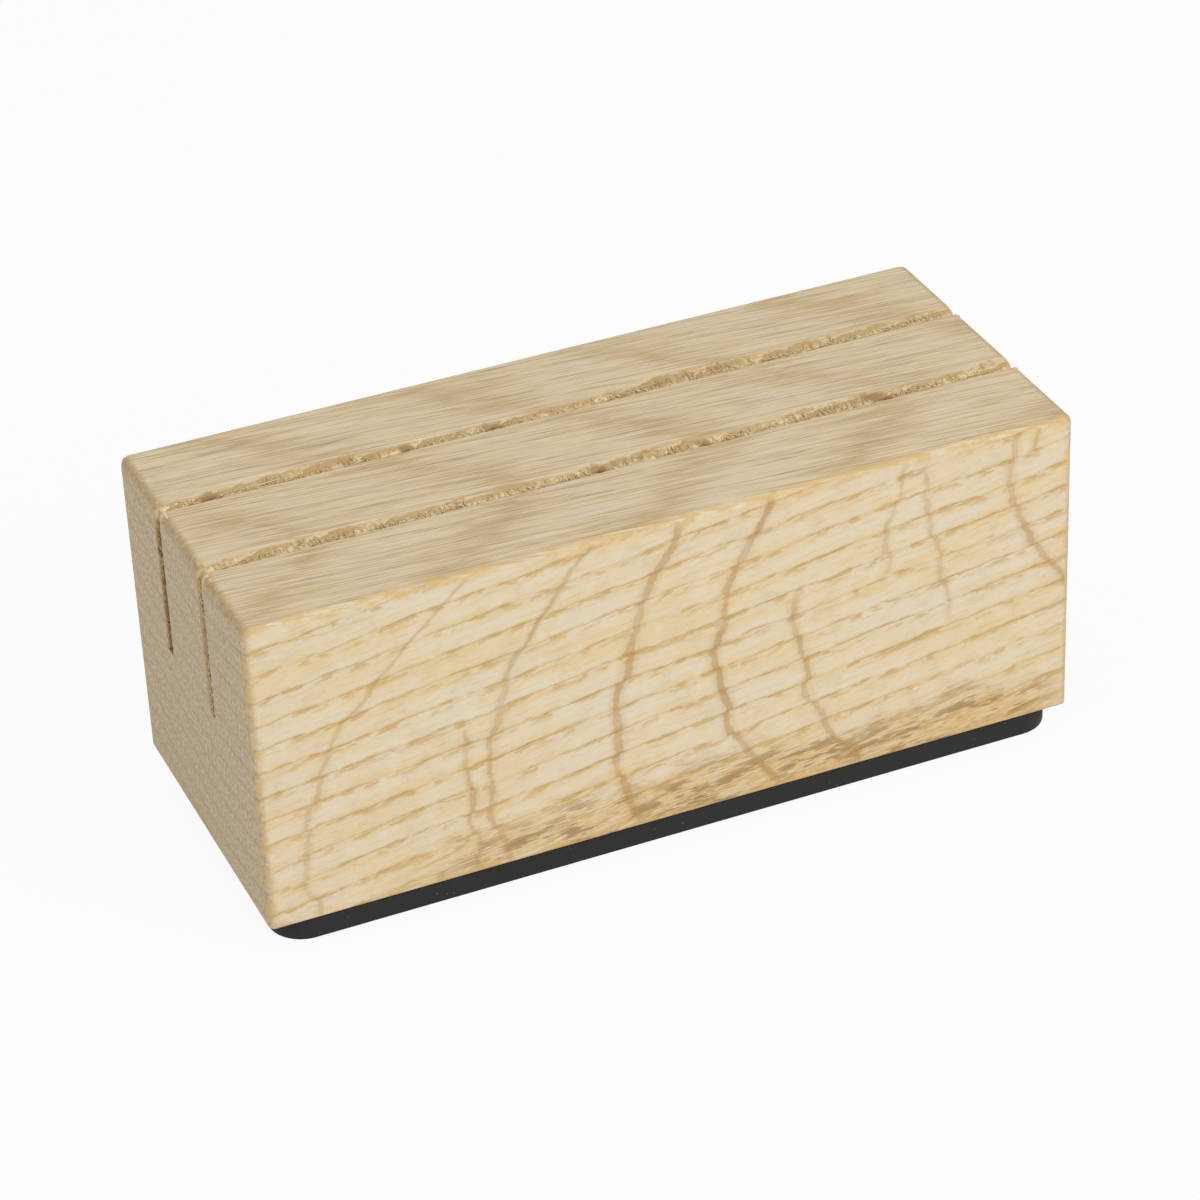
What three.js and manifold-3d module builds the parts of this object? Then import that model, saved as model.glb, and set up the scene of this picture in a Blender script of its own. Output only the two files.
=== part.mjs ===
// A table-top menu holder: an oak block with sawn slots that keep cards upright,
// standing on a thin rubber pad that a film of adhesive holds to its underside.
// Millimetres. X runs along the block, Y from front to back, and Z up from the table.

import * as THREE from "three";
import { mergeVertices } from "three/addons/utils/BufferGeometryUtils.js";
import Module from "manifold-3d";

// Oak block
const blockLength = 120;
const blockWidth = 50;
const blockHeight = 47.2;
const uprightEdgeRadius = 1.1; // the four upright edges
const endEdgeRadius = 1.4; // top edges of the two end faces, sanded the most
const sideEdgeRadius = 0.9; // top edges along the front and the back
const footEdgeRadius = 0.5; // edges round the underside

// Card slots, sawn from end to end in the top of the block
const slotCount = 2;
const slotSpacing = 17.3; // from the middle of one slot to the next
const slotWidth = 1.5; // the saw's kerf
const slotDepth = 22.5;
const slotLipChamfer = 0.3; // eased edges of the mouth

// Rubber pad under the block
const padThickness = 3.4;
const padEndInset = 1.5; // from the block's end faces
const padSideInset = 0.6; // from the block's front and back
const padCornerRadius = 5;
const padEdgeRadius = 0.3;

// Adhesive film between the pad and the block
const filmThickness = 0.2;
const filmInset = 0.8; // from the pad's outline

// Sizes that follow from these
const padLength = blockLength - 2 * padEndInset;
const padWidth = blockWidth - 2 * padSideInset;
const filmCornerRadius = Math.max(padCornerRadius - filmInset, padEdgeRadius);

// Flat steps in a quarter turn of a large and of a small radius
const wideArcSteps = 16;
const edgeArcSteps = 4;
const stepsPerSegment = 2; // an arc takes two steps for each curve segment

const oakFinish = { color: 0xd3be98, roughness: 0.68, metalness: 0 };
const rubberFinish = { color: 0x2b2b2c, roughness: 0.82, metalness: 0 };
const filmFinish = { color: 0xb9b4a6, roughness: 0.45, metalness: 0 };

const quarterTurn = Math.PI / 2;
const wasm = await Module();
wasm.setup();

// The radius or chamfer that still leaves some flat on each of the walls that it joins.
function easedWithin(size, ...walls) {
  const largestShare = 0.45;
  return Math.min(size, ...walls.map((wall) => wall * largestShare));
}

// A rectangle that stands on the origin, with one radius at its foot and one at its head.
function standingOutline(width, height, footRadius, headRadius) {
  const side = width / 2;
  const foot = easedWithin(footRadius, width, height);
  const head = easedWithin(headRadius, width, height);
  const outline = new THREE.Shape();
  outline.moveTo(foot - side, 0);
  outline.absarc(side - foot, foot, foot, -quarterTurn, 0);
  outline.absarc(side - head, height - head, head, 0, quarterTurn);
  outline.absarc(head - side, height - head, head, quarterTurn, 2 * quarterTurn);
  outline.absarc(foot - side, foot, foot, 2 * quarterTurn, 3 * quarterTurn);
  return outline;
}

// A rectangle with four equal corners, centred on the origin.
function plateOutline(length, width, cornerRadius) {
  const corner = easedWithin(cornerRadius, length, width);
  const x = length / 2 - corner;
  const y = width / 2 - corner;
  const outline = new THREE.Shape();
  outline.moveTo(-x, -width / 2);
  outline.absarc(x, -y, corner, -quarterTurn, 0);
  outline.absarc(x, y, corner, 0, quarterTurn);
  outline.absarc(-x, y, corner, quarterTurn, 2 * quarterTurn);
  outline.absarc(-x, -y, corner, 2 * quarterTurn, 3 * quarterTurn);
  return outline;
}

// Takes an outline that runs along the top, from right to left, down round one slot and up again.
function addSlot(outline, middle) {
  const right = middle + slotWidth / 2;
  const left = middle - slotWidth / 2;
  const lip = easedWithin(slotLipChamfer, slotDepth, slotSpacing - slotWidth);
  const floor = blockHeight - slotDepth;
  outline.lineTo(right + lip, blockHeight);
  outline.lineTo(right, blockHeight - lip);
  outline.lineTo(right, floor);
  outline.lineTo(left, floor);
  outline.lineTo(left, blockHeight - lip);
  outline.lineTo(left - lip, blockHeight);
}

// The block's section across its length, with the slots open at the top.
function blockSection() {
  const side = blockWidth / 2;
  const foot = easedWithin(footEdgeRadius, blockWidth, blockHeight);
  const head = easedWithin(sideEdgeRadius, blockWidth, blockHeight);
  const section = new THREE.Shape();
  section.moveTo(foot - side, 0);
  section.absarc(side - foot, foot, foot, -quarterTurn, 0);
  section.absarc(side - head, blockHeight - head, head, 0, quarterTurn);
  for (let slot = slotCount - 1; slot >= 0; slot -= 1) {
    addSlot(section, (slot - (slotCount - 1) / 2) * slotSpacing);
  }
  section.absarc(head - side, blockHeight - head, head, quarterTurn, 2 * quarterTurn);
  section.absarc(foot - side, foot, foot, 2 * quarterTurn, 3 * quarterTurn);
  return section;
}

// Extrudes an outline evenly to both sides of its own plane, which right and up span.
function extrudeBothWays(outline, depth, right, up) {
  const geometry = new THREE.ExtrudeGeometry(outline, {
    depth,
    bevelEnabled: false,
    curveSegments: edgeArcSteps / stepsPerSegment,
  });
  const out = new THREE.Vector3().crossVectors(right, up);
  geometry.translate(0, 0, -depth / 2);
  geometry.applyMatrix4(new THREE.Matrix4().makeBasis(right, up, out));
  return geometry;
}

// A closed geometry as a solid that can be cut.
function solidFrom(geometry) {
  geometry.deleteAttribute("normal");
  geometry.deleteAttribute("uv");
  const shell = mergeVertices(geometry);
  return new wasm.Manifold(
    new wasm.Mesh({
      numProp: 3,
      vertProperties: shell.attributes.position.array,
      triVerts: new Uint32Array(shell.index.array),
    }),
  );
}

// A solid as the geometry of a mesh.
function geometryFrom(solid) {
  const shell = solid.getMesh();
  const geometry = new THREE.BufferGeometry();
  geometry.setAttribute("position", new THREE.BufferAttribute(shell.vertProperties, shell.numProp));
  geometry.setIndex(new THREE.BufferAttribute(shell.triVerts, 1));
  geometry.computeVertexNormals();
  return geometry;
}

// The block is what its section, its front view and its plan have in common,
// so every edge is eased by the radius that belongs to it.
function blockGeometry() {
  const alongX = new THREE.Vector3(1, 0, 0);
  const alongY = new THREE.Vector3(0, 1, 0);
  const alongZ = new THREE.Vector3(0, 0, 1);
  const frontView = standingOutline(blockLength, blockHeight, footEdgeRadius, endEdgeRadius);
  const plan = plateOutline(blockLength, blockWidth, uprightEdgeRadius);
  const lengthwise = solidFrom(extrudeBothWays(blockSection(), blockLength, alongY, alongZ));
  const crosswise = solidFrom(extrudeBothWays(frontView, blockWidth, alongX, alongZ));
  const upright = solidFrom(extrudeBothWays(plan, 2 * blockHeight, alongX, alongY));
  return geometryFrom(lengthwise.intersect(crosswise).intersect(upright));
}

// The pad has rounded corners and a slightly eased rim above and below.
function padGeometry() {
  const rim = easedWithin(padEdgeRadius, padThickness);
  const outline = plateOutline(padLength, padWidth, padCornerRadius);
  const geometry = new THREE.ExtrudeGeometry(outline, {
    depth: padThickness - 2 * rim,
    bevelSize: rim,
    bevelOffset: -rim,
    bevelThickness: rim,
    bevelSegments: 2,
    curveSegments: wideArcSteps / stepsPerSegment,
  });
  return geometry.translate(0, 0, rim);
}

// The film stops short of the pad's rim all round.
function filmGeometry() {
  const length = padLength - 2 * filmInset;
  const width = padWidth - 2 * filmInset;
  const outline = plateOutline(length, width, filmCornerRadius);
  return new THREE.ExtrudeGeometry(outline, {
    depth: filmThickness,
    bevelEnabled: false,
    curveSegments: wideArcSteps / stepsPerSegment,
  });
}

function namedPiece(name, geometry, finish, height) {
  const piece = new THREE.Mesh(geometry, new THREE.MeshStandardMaterial(finish));
  piece.name = name;
  piece.position.z = height;
  return piece;
}

const menuHolder = new THREE.Group();
menuHolder.name = "menu_holder";
menuHolder.add(
  namedPiece("rubber_pad", padGeometry(), rubberFinish, 0),
  namedPiece("adhesive_film", filmGeometry(), filmFinish, padThickness),
  namedPiece("oak_block", blockGeometry(), oakFinish, padThickness + filmThickness),
);

export default menuHolder;
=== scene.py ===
import math
import random
from functools import partial

import bmesh
import bpy
from mathutils import Matrix, Vector, noise


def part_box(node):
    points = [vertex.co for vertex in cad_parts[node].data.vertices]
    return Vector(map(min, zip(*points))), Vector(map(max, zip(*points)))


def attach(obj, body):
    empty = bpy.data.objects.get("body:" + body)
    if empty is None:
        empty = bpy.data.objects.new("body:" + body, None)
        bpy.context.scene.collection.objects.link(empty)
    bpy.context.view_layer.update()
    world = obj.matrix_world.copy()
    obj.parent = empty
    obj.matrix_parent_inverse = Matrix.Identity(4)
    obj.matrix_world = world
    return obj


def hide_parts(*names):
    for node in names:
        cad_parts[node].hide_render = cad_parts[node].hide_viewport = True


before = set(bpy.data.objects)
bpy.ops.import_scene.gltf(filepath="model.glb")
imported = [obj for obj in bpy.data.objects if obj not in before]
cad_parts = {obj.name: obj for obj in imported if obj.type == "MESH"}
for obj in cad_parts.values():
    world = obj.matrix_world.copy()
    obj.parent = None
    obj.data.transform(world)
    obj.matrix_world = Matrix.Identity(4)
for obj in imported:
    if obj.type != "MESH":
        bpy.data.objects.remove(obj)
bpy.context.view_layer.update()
scene = bpy.context.scene
scene.view_settings.view_transform = "Standard"
mm = 0.001
print("frame loaded")


# node helpers: a value is a number, a colour or another node's socket

def addNode(tree, kind, **settings):
    made = tree.nodes.new(kind)
    for name, value in settings.items():
        setattr(made, name, value)
    return made


def feed(tree, socket, value):
    if isinstance(value, bpy.types.NodeSocket):
        tree.links.new(value, socket)
    else:
        socket.default_value = value


def calc(tree, operation, *values):
    made = addNode(tree, "ShaderNodeMath", operation=operation)
    for socket, value in zip(made.inputs, values):
        feed(tree, socket, value)
    return made.outputs[0]


def ease(tree, value, low, high, atLow=0.0, atHigh=1.0):
    made = addNode(tree, "ShaderNodeMapRange", interpolation_type="SMOOTHSTEP")
    for socket, entry in zip(made.inputs, (value, low, high, atLow, atHigh)):
        feed(tree, socket, entry)
    return made.outputs[0]


def cloud(tree, vector, scale, detail=2.0, rough=0.5):
    made = addNode(tree, "ShaderNodeTexNoise", noise_dimensions="3D")
    feed(tree, made.inputs["Vector"], vector)
    made.inputs["Scale"].default_value = scale
    made.inputs["Detail"].default_value = detail
    made.inputs["Roughness"].default_value = rough
    return made.outputs[0]


def blend(tree, amount, first, second):
    made = addNode(tree, "ShaderNodeMix", data_type="RGBA", blend_type="MIX")
    feed(tree, made.inputs[0], amount)
    feed(tree, made.inputs[6], first)
    feed(tree, made.inputs[7], second)
    return made.outputs[2]


def joined(tree, x, y, z):
    made = addNode(tree, "ShaderNodeCombineXYZ")
    for socket, value in zip(made.inputs, (x, y, z)):
        feed(tree, socket, value)
    return made.outputs[0]


def split(tree, vector):
    made = addNode(tree, "ShaderNodeSeparateXYZ")
    feed(tree, made.inputs[0], vector)
    return made.outputs[0], made.outputs[1], made.outputs[2]


# the piece's own place in millimetres, with height counted from `foot`
def placeInMillimetres(tree, foot=0.0):
    mapping = addNode(tree, "ShaderNodeMapping")
    feed(tree, mapping.inputs["Vector"], addNode(tree, "ShaderNodeTexCoord").outputs["Object"])
    mapping.inputs["Scale"].default_value = (1 / mm, 1 / mm, 1 / mm)
    mapping.inputs["Location"].default_value = (0, 0, -foot / mm)
    return mapping.outputs[0]


def addRelief(tree, shader, height, strength, depth):
    bump = addNode(tree, "ShaderNodeBump")
    bump.inputs["Strength"].default_value = strength
    bump.inputs["Distance"].default_value = depth * mm
    feed(tree, bump.inputs["Height"], height)
    feed(tree, shader.inputs["Normal"], bump.outputs[0])


def newMaterial(name):
    material = bpy.data.materials.new(name)
    material.use_nodes = True
    tree = material.node_tree
    return material, tree, tree.nodes["Principled BSDF"]


# mesh helpers

def meshFrom(name, bm):
    mesh = bpy.data.meshes.new(name)
    bm.to_mesh(mesh)
    bm.free()
    return mesh


def addObject(name, data):
    made = bpy.data.objects.new(name, data)
    scene.collection.objects.link(made)
    return made


def newPiece(name, bm, material, replaced=None):
    alongAxis = 0.9999           # a normal this close to an axis belongs to a flat face, which stays flat
    for face in bm.faces:
        face.smooth = max(abs(part) for part in face.normal) < alongAxis
    piece = addObject(name, meshFrom(name, bm))
    piece.data.materials.append(material)
    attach(piece, "root")
    if replaced:
        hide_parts(replaced)


# block: sizes that its shape, its finish and its torn fibres share

blockLow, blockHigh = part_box("oak_block")
blockSize = blockHigh - blockLow
slots = {"middle": 8.65 * mm, "width": 1.5 * mm, "depth": 22.5 * mm}
halfSlot = slots["width"] / 2 / mm
slotRow = slots["middle"] / mm

# deep chips: which slot, where along it, how long
knots = [
    (-1, -3.0, 1.6), (-1, 12.5, 1.3), (-1, 39.3, 1.9),
    (1, -52.3, 1.8), (1, -24.0, 1.5), (1, -11.3, 1.9),
]


# oak: pale, with rows of pores along the growth rings and broad rays across them

oakLook = {
    "countFrom": 100.0,          # keeps counts of rings and chips above nought
    "rings": {
        "spacing": 3.75,
        "rise": 0.13,            # how the rings climb along the block
        "start": 2.56,
        "bow": 0.15,             # how steeply they climb to the front and back
        "middle": -8.0,
        "soft": 4.0,
        "lines": 3,              # fine lines to a ring
    },
    "rays": {
        "depth": 9.5,            # they lie nearly flat to the front face
        "repeat": 150.0,
        "halfHeight": 23.6,      # a curve counts from -1 at the foot to 1 at the top
        "core": (0.25, 0.62, 1.0, 0.0),
        "halo": (0.40, 1.25, 0.35, 0.0),
        "ends": (-2.0, 2.0),
        # their lines on the front: four numbers of the curve over the height,
        # where it starts and stops, width, strength
        "lines": [
            (-50.3, 12.4, 9.3, -0.1, 0, 47, 1.00, 0.60),
            (-25.9, 6.3, 7.5, 1.0, 0, 47, 1.15, 0.80),
            (-31.1, -3.0, -4.0, -1.5, 0, 23, 1.00, 0.75),
            (-8.1, 5.0, 5.4, -1.3, 0, 47, 1.45, 0.95),
            (6.0, 1.0, 8.9, -1.2, 0, 47, 1.35, 1.00),
            (18.0, -2.6, 3.1, -3.4, 0, 30, 1.25, 0.85),
            (29.8, 4.4, 0.0, 0.0, 30, 47, 0.90, 0.55),
            (40.3, -3.5, 0.3, 0.0, 20, 45, 0.90, 0.55),
            (57.4, -16.3, 6.9, 3.9, 20, 46, 1.25, 0.85),
            (45.8, 9.4, 0.0, 0.0, 43, 47, 1.00, 0.75),
        ],
    },
    # long chips that slant back along a slot
    "chips": {"length": 12, "slant": 0.46, "waves": 0.11, "wave": 0.25, "ragged": 0.5},
    # noise that is even all round: scale, detail, roughness
    "clouds": {
        "wide": (0.035, 2),
        "fine": (0.17, 3),
        "sway": (0.05, 1),
        "rayPatch": (0.25, 2),
        "mottle": (1.6, 3, 0.7),
        "speck": (1.3, 2),
        "flake": (0.8, 3, 0.6),
        "crumb": (2.4, 3, 0.65),
    },
    # noise drawn out along the fibres: along, across, up, detail, roughness
    "fibres": {
        "streak": (0.22, 4.0, 4.0, 3, 0.60),
        "jagged": (0.80, 0.6, 1.3, 2, 0.60),
        "broad": (0.05, 0.3, 0.55, 3, 0.55),
        "patchy": (0.10, 0.25, 0.8, 2, 0.55),
        "blotch": (0.36, 0.7, 1.0, 2, 0.50),
        "dash": (0.45, 3.0, 5.5, 2, 0.60),
        "clump": (0.17, 0.8, 0.7, 2, 0.55),
    },
    # the same, lying level as the top shows it: along, across, up, detail, roughness
    "levelFibres": {
        "thread": (0.075, 3.8, 0.3, 3, 0.65),
        "hair": (0.16, 9.0, 0.3, 2, 0.65),
        "ragged": (0.070, 2.4, 0.3, 3, 0.65),
        "shade": (0.045, 1.5, 0.3, 3, 0.65),
    },
    "dabs": (0.45, 2.5, 4.0, 2, 0.55),       # stains: the same numbers
    # slopes and stretches of the grain, and how far noise moves each thing from its place
    "sways": {
        "fibreClimb": 0.16, "fibreForward": 0.07, "fibreRise": 2.0, "fibreDrift": 0.9,
        "ringWide": 1.4, "ringFine": 1.0,
        "line": 0.40, "band": 4.2, "hairline": 1.2, "ringEdge": 2.2,
        "rayFine": 3.4, "rayJagged": 0.9, "rayStep": 1.0,
        "blotch": 0.3, "arris": 2.5, "endArris": 1.5, "mouth": 0.6,
        "stainHeight": 10.0, "stainClimb": 0.05, "clump": 1.3,
        "flakeAlong": 0.35, "crumbAlong": 0.6, "crumbUp": 0.5,
    },
    # soft steps: where each starts and ends, and its strength there where that isn't 0 and 1
    "steps": {
        "onTop": (-0.7, -0.15),                     # from the top
        "line": (0.008, 0.050, 1, 0),
        "linePatch": (0.40, 0.60, 0.10, 1.0),
        "hairline": (0.03, 0.16, 1, 0),
        "hairlinePatch": (0.46, 0.60),
        "band": (0.0, 0.26, 1, 0),
        "bandPatch": (0.30, 0.60, 0.45, 1.0),
        "poresBelow": (-0.40, -0.06),
        "poresAbove": (0.02, 0.12, 1, 0),
        "blotch": (0.47, 0.60),
        "dash": (0.44, 0.58),
        "rayPatch": (0.30, 0.62, 0.60, 1.0),
        "rayCrossing": (0.0, 0.10, 1, 0),
        "arris": (0.3, 1.7, 0.85, 0.0),
        "arrisFlake": (0.42, 0.60),
        "endFace": (0.25, 1.2, 1.0, 0.0),
        "endArris": (0.3, 1.6, 1.0, 0.0),
        "endArrisTop": (0.3, 1.5, 1.0, 0.0),
        "endArrisMottle": (0.35, 0.60, 0.35, 0.9),
        "endMottle": (0.34, 0.66),
        "endRing": (0.0, 0.22, 0.35, 0.0),
        "inRear": (-4, 4),
        "besideSlot": (2.4, 3.0, 1, 0),
        "tornTop": (0.03, 0.16),
        "tornFoot": (2.5, 6.0, 1, 0),
        "tornEnd": (0.35, 0.75, 1, 0),
        # crumbly torn colour, plus painted shade behind each chip's line and on the outer lip
        "tornMix": (0.45, 0.70),
        "outerLip": (0.3, 1.2),
        # painted shadow line at the front of each chip
        "chipShadowLine": (0.0, 0.13, 1, 0),
        "chipCrumb": (0.36, 0.52),
        # painted shade, in gold, on the slot's front wall below its top
        "frontWallShade": (-0.1, 0.3, 0.8, 0.0),         # from the slot's front side
        "frontWallShadeTop": (0.25, 0.55),
        "wall": (-0.04, 0.04, 1, 0),                # from the slot's side
        # painted shade deepens down the walls between these depths
        "wallTop": (1.5, 4.0),
        "wallFoot": (0.1, 0.3, 1, 0),               # from the slot's floor
        "wallMottle": (0.36, 0.52),
        # painted shade about each slot's end on the end face
        "mouth": (0.0, 0.5, 1, 0),                  # from the slot's side
        "mouthFoot": (0.1, 0.5, 1, 0),              # from the slot's floor
        "mouthMottle": (0.36, 0.58, 0.55, 0.95),
        # painted highlight where each slot's end meets the top
        "notchHighlight": (1.1, 1.8, 1, 0),
        "notchHighlightFoot": (1.3, 2.6, 1, 0),
        # how near the block's ends the walls get painted light
        "nearEnd": (0.6, 3.0, 1, 0),
        # painted shade: dark specks in the slots near the block's ends
        "speck": (0.58, 0.64),
        # painted shade in the deep chips
        "knotRow": (0.0, 1.0),
        "knotTop": (0.05, 0.35),
        "honey": (0.36, 0.62),
        "shade": (0.50, 0.66),
        "ringEdge": (0.0, 0.07, 1, 0),
        "thread": (0.53, 0.67),
        "hair": (0.55, 0.68),
        "silver": (0.46, 0.34),
        "stainHeight": (3.0, 9.5, 1, 0),
        "stainLeft": (-46, -20),
        "stainRight": (50, 62, 1, 0),
        "stainFront": (3, 9, 1, 0),                 # from the front face
        "stainGold": (0.40, 0.58, 0.20, 0.70),
        "stain": (0.45, 0.66),
        "roughness": (0.3, 0.7, 0.58, 0.72),
    },
    # how strongly each is painted; of two numbers the first counts on the top and the second everywhere
    "amounts": {
        "band": (0.46, 0.10), "thread": (0.72, 0.12), "silver": (0.45, 0.25), "ray": (-0.35, 0.72),
        "shade": 0.40, "ringEdge": 0.30, "hair": 0.55,                       # on the top
        "blotch": 0.66, "dash": 0.36, "hairline": 0.16, "line": 0.50,        # off the top
        "rayCrossing": 0.30, "stain": 0.75, "endFace": 0.85,
        # this row paints light and shade: chip shadow lines, slot walls, dark specks, the pale notch and
        # the deep chips
        "chipShadowLine": 0.85, "wall": 0.85, "wallShadeSpecks": 0.5, "notchHighlight": 0.85, "knotShade": 0.8,
    },
    # and here the first counts in the rear slot, the second in both: painted shade on the outer lip,
    # painted light on the walls near the ends, painted shade in specks there
    "inSlots": {"lip": (0.07, 0.17), "paintedWallLight": (-0.3, 0.9), "speck": (0.60, 0.20)},
    "toneParts": {"streak": 0.35, "broad": 0.60, "beside": 0.05},
    "topTone": (0.55, 0.75),     # what the tone of the top is drawn to, and how far
    "mouthBack": 0.45,           # slot ends are torn more on the rear side, and the painted shade about them reaches further there
    "rearMouth": 0.6,            # how far the rear slot's end goes to the dark tint, painted shade
    "knotBack": 0.6,             # how far along the deep chips start, because they slant back
    "knotCore": 0.5,             # share of a deep chip that is dark all over
    # how much painted shade fades back from each chip's line
    "chipShade": 0.50,
    "relief": {"pores": -0.5, "thread": 0.9, "endGrain": 1.4, "strength": 0.4, "depth": 0.08},
    "specular": 0.3,
    "tints": {
        "pale": (0.755, 0.655, 0.485, 1),
        "honey": (0.765, 0.595, 0.335, 1),
        "gold": (0.640, 0.405, 0.145, 1),
        "line": (0.470, 0.290, 0.100, 1),
        "smoke": (0.530, 0.345, 0.150, 1),
        "thread": (0.430, 0.315, 0.175, 1),
        "silver": (0.815, 0.735, 0.590, 1),
        "ray": (0.480, 0.280, 0.095, 1),
        "stain": (0.315, 0.185, 0.062, 1),
        "arris": (0.680, 0.460, 0.190, 1),
        "endArris": (0.450, 0.320, 0.165, 1),
        "endGrain": (0.655, 0.535, 0.360, 1),
        "endDark": (0.400, 0.290, 0.165, 1),
        "tornLight": (0.745, 0.580, 0.325, 1),
        "torn": (0.550, 0.378, 0.170, 1),
        # painted light: paler paint down in the slot, where it lies in shade
        "paintedLight": (0.905, 0.735, 0.435, 1),
        # painted shade of the deep slot walls and about each slot's end
        "kerf": (0.490, 0.305, 0.125, 1),
        # painted shade in the deep chips and at the rear slot's end
        "gapShade": (0.350, 0.195, 0.070, 1),
        # painted shade in small hollows
        "hollowShade": (0.085, 0.047, 0.022, 1),
    },
}

rayNumbers = ("c0", "c1", "c2", "c3", "low", "high", "width", "strength")


# how near a point is to one ray's line, from 0 to the ray's strength
def rayGroup():
    look = oakLook["rays"]
    group = bpy.data.node_groups.new("rayLine", "ShaderNodeTree")
    for name in ("along", "height") + rayNumbers:
        group.interface.new_socket(name, in_out="INPUT", socket_type="NodeSocketFloat")
    group.interface.new_socket("mask", in_out="OUTPUT", socket_type="NodeSocketFloat")
    given = addNode(group, "NodeGroupInput").outputs
    share = calc(group, "MULTIPLY_ADD", given["height"], 1 / look["halfHeight"], -1.0)
    path = given["c3"]
    for name in ("c2", "c1", "c0"):
        path = calc(group, "MULTIPLY_ADD", path, share, given[name])
    off = calc(group, "ABSOLUTE", calc(group, "SUBTRACT", given["along"], path))
    near = calc(group, "DIVIDE", off, given["width"])
    mask = calc(group, "MAXIMUM", ease(group, near, *look["core"]), ease(group, near, *look["halo"]))
    above = calc(group, "SUBTRACT", given["height"], given["low"])
    below = calc(group, "SUBTRACT", given["high"], given["height"])
    ends = calc(group, "MULTIPLY", ease(group, above, *look["ends"]), ease(group, below, *look["ends"]))
    mask = calc(group, "MULTIPLY", calc(group, "MULTIPLY", mask, ends), given["strength"])
    feed(group, addNode(group, "NodeGroupOutput").inputs["mask"], mask)
    return group


# how far behind the middle of its own slot a point lies
def behindSlot(tree, y):
    return calc(tree, "SUBTRACT", y, calc(tree, "MULTIPLY", calc(tree, "SIGN", y), slotRow))


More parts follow.
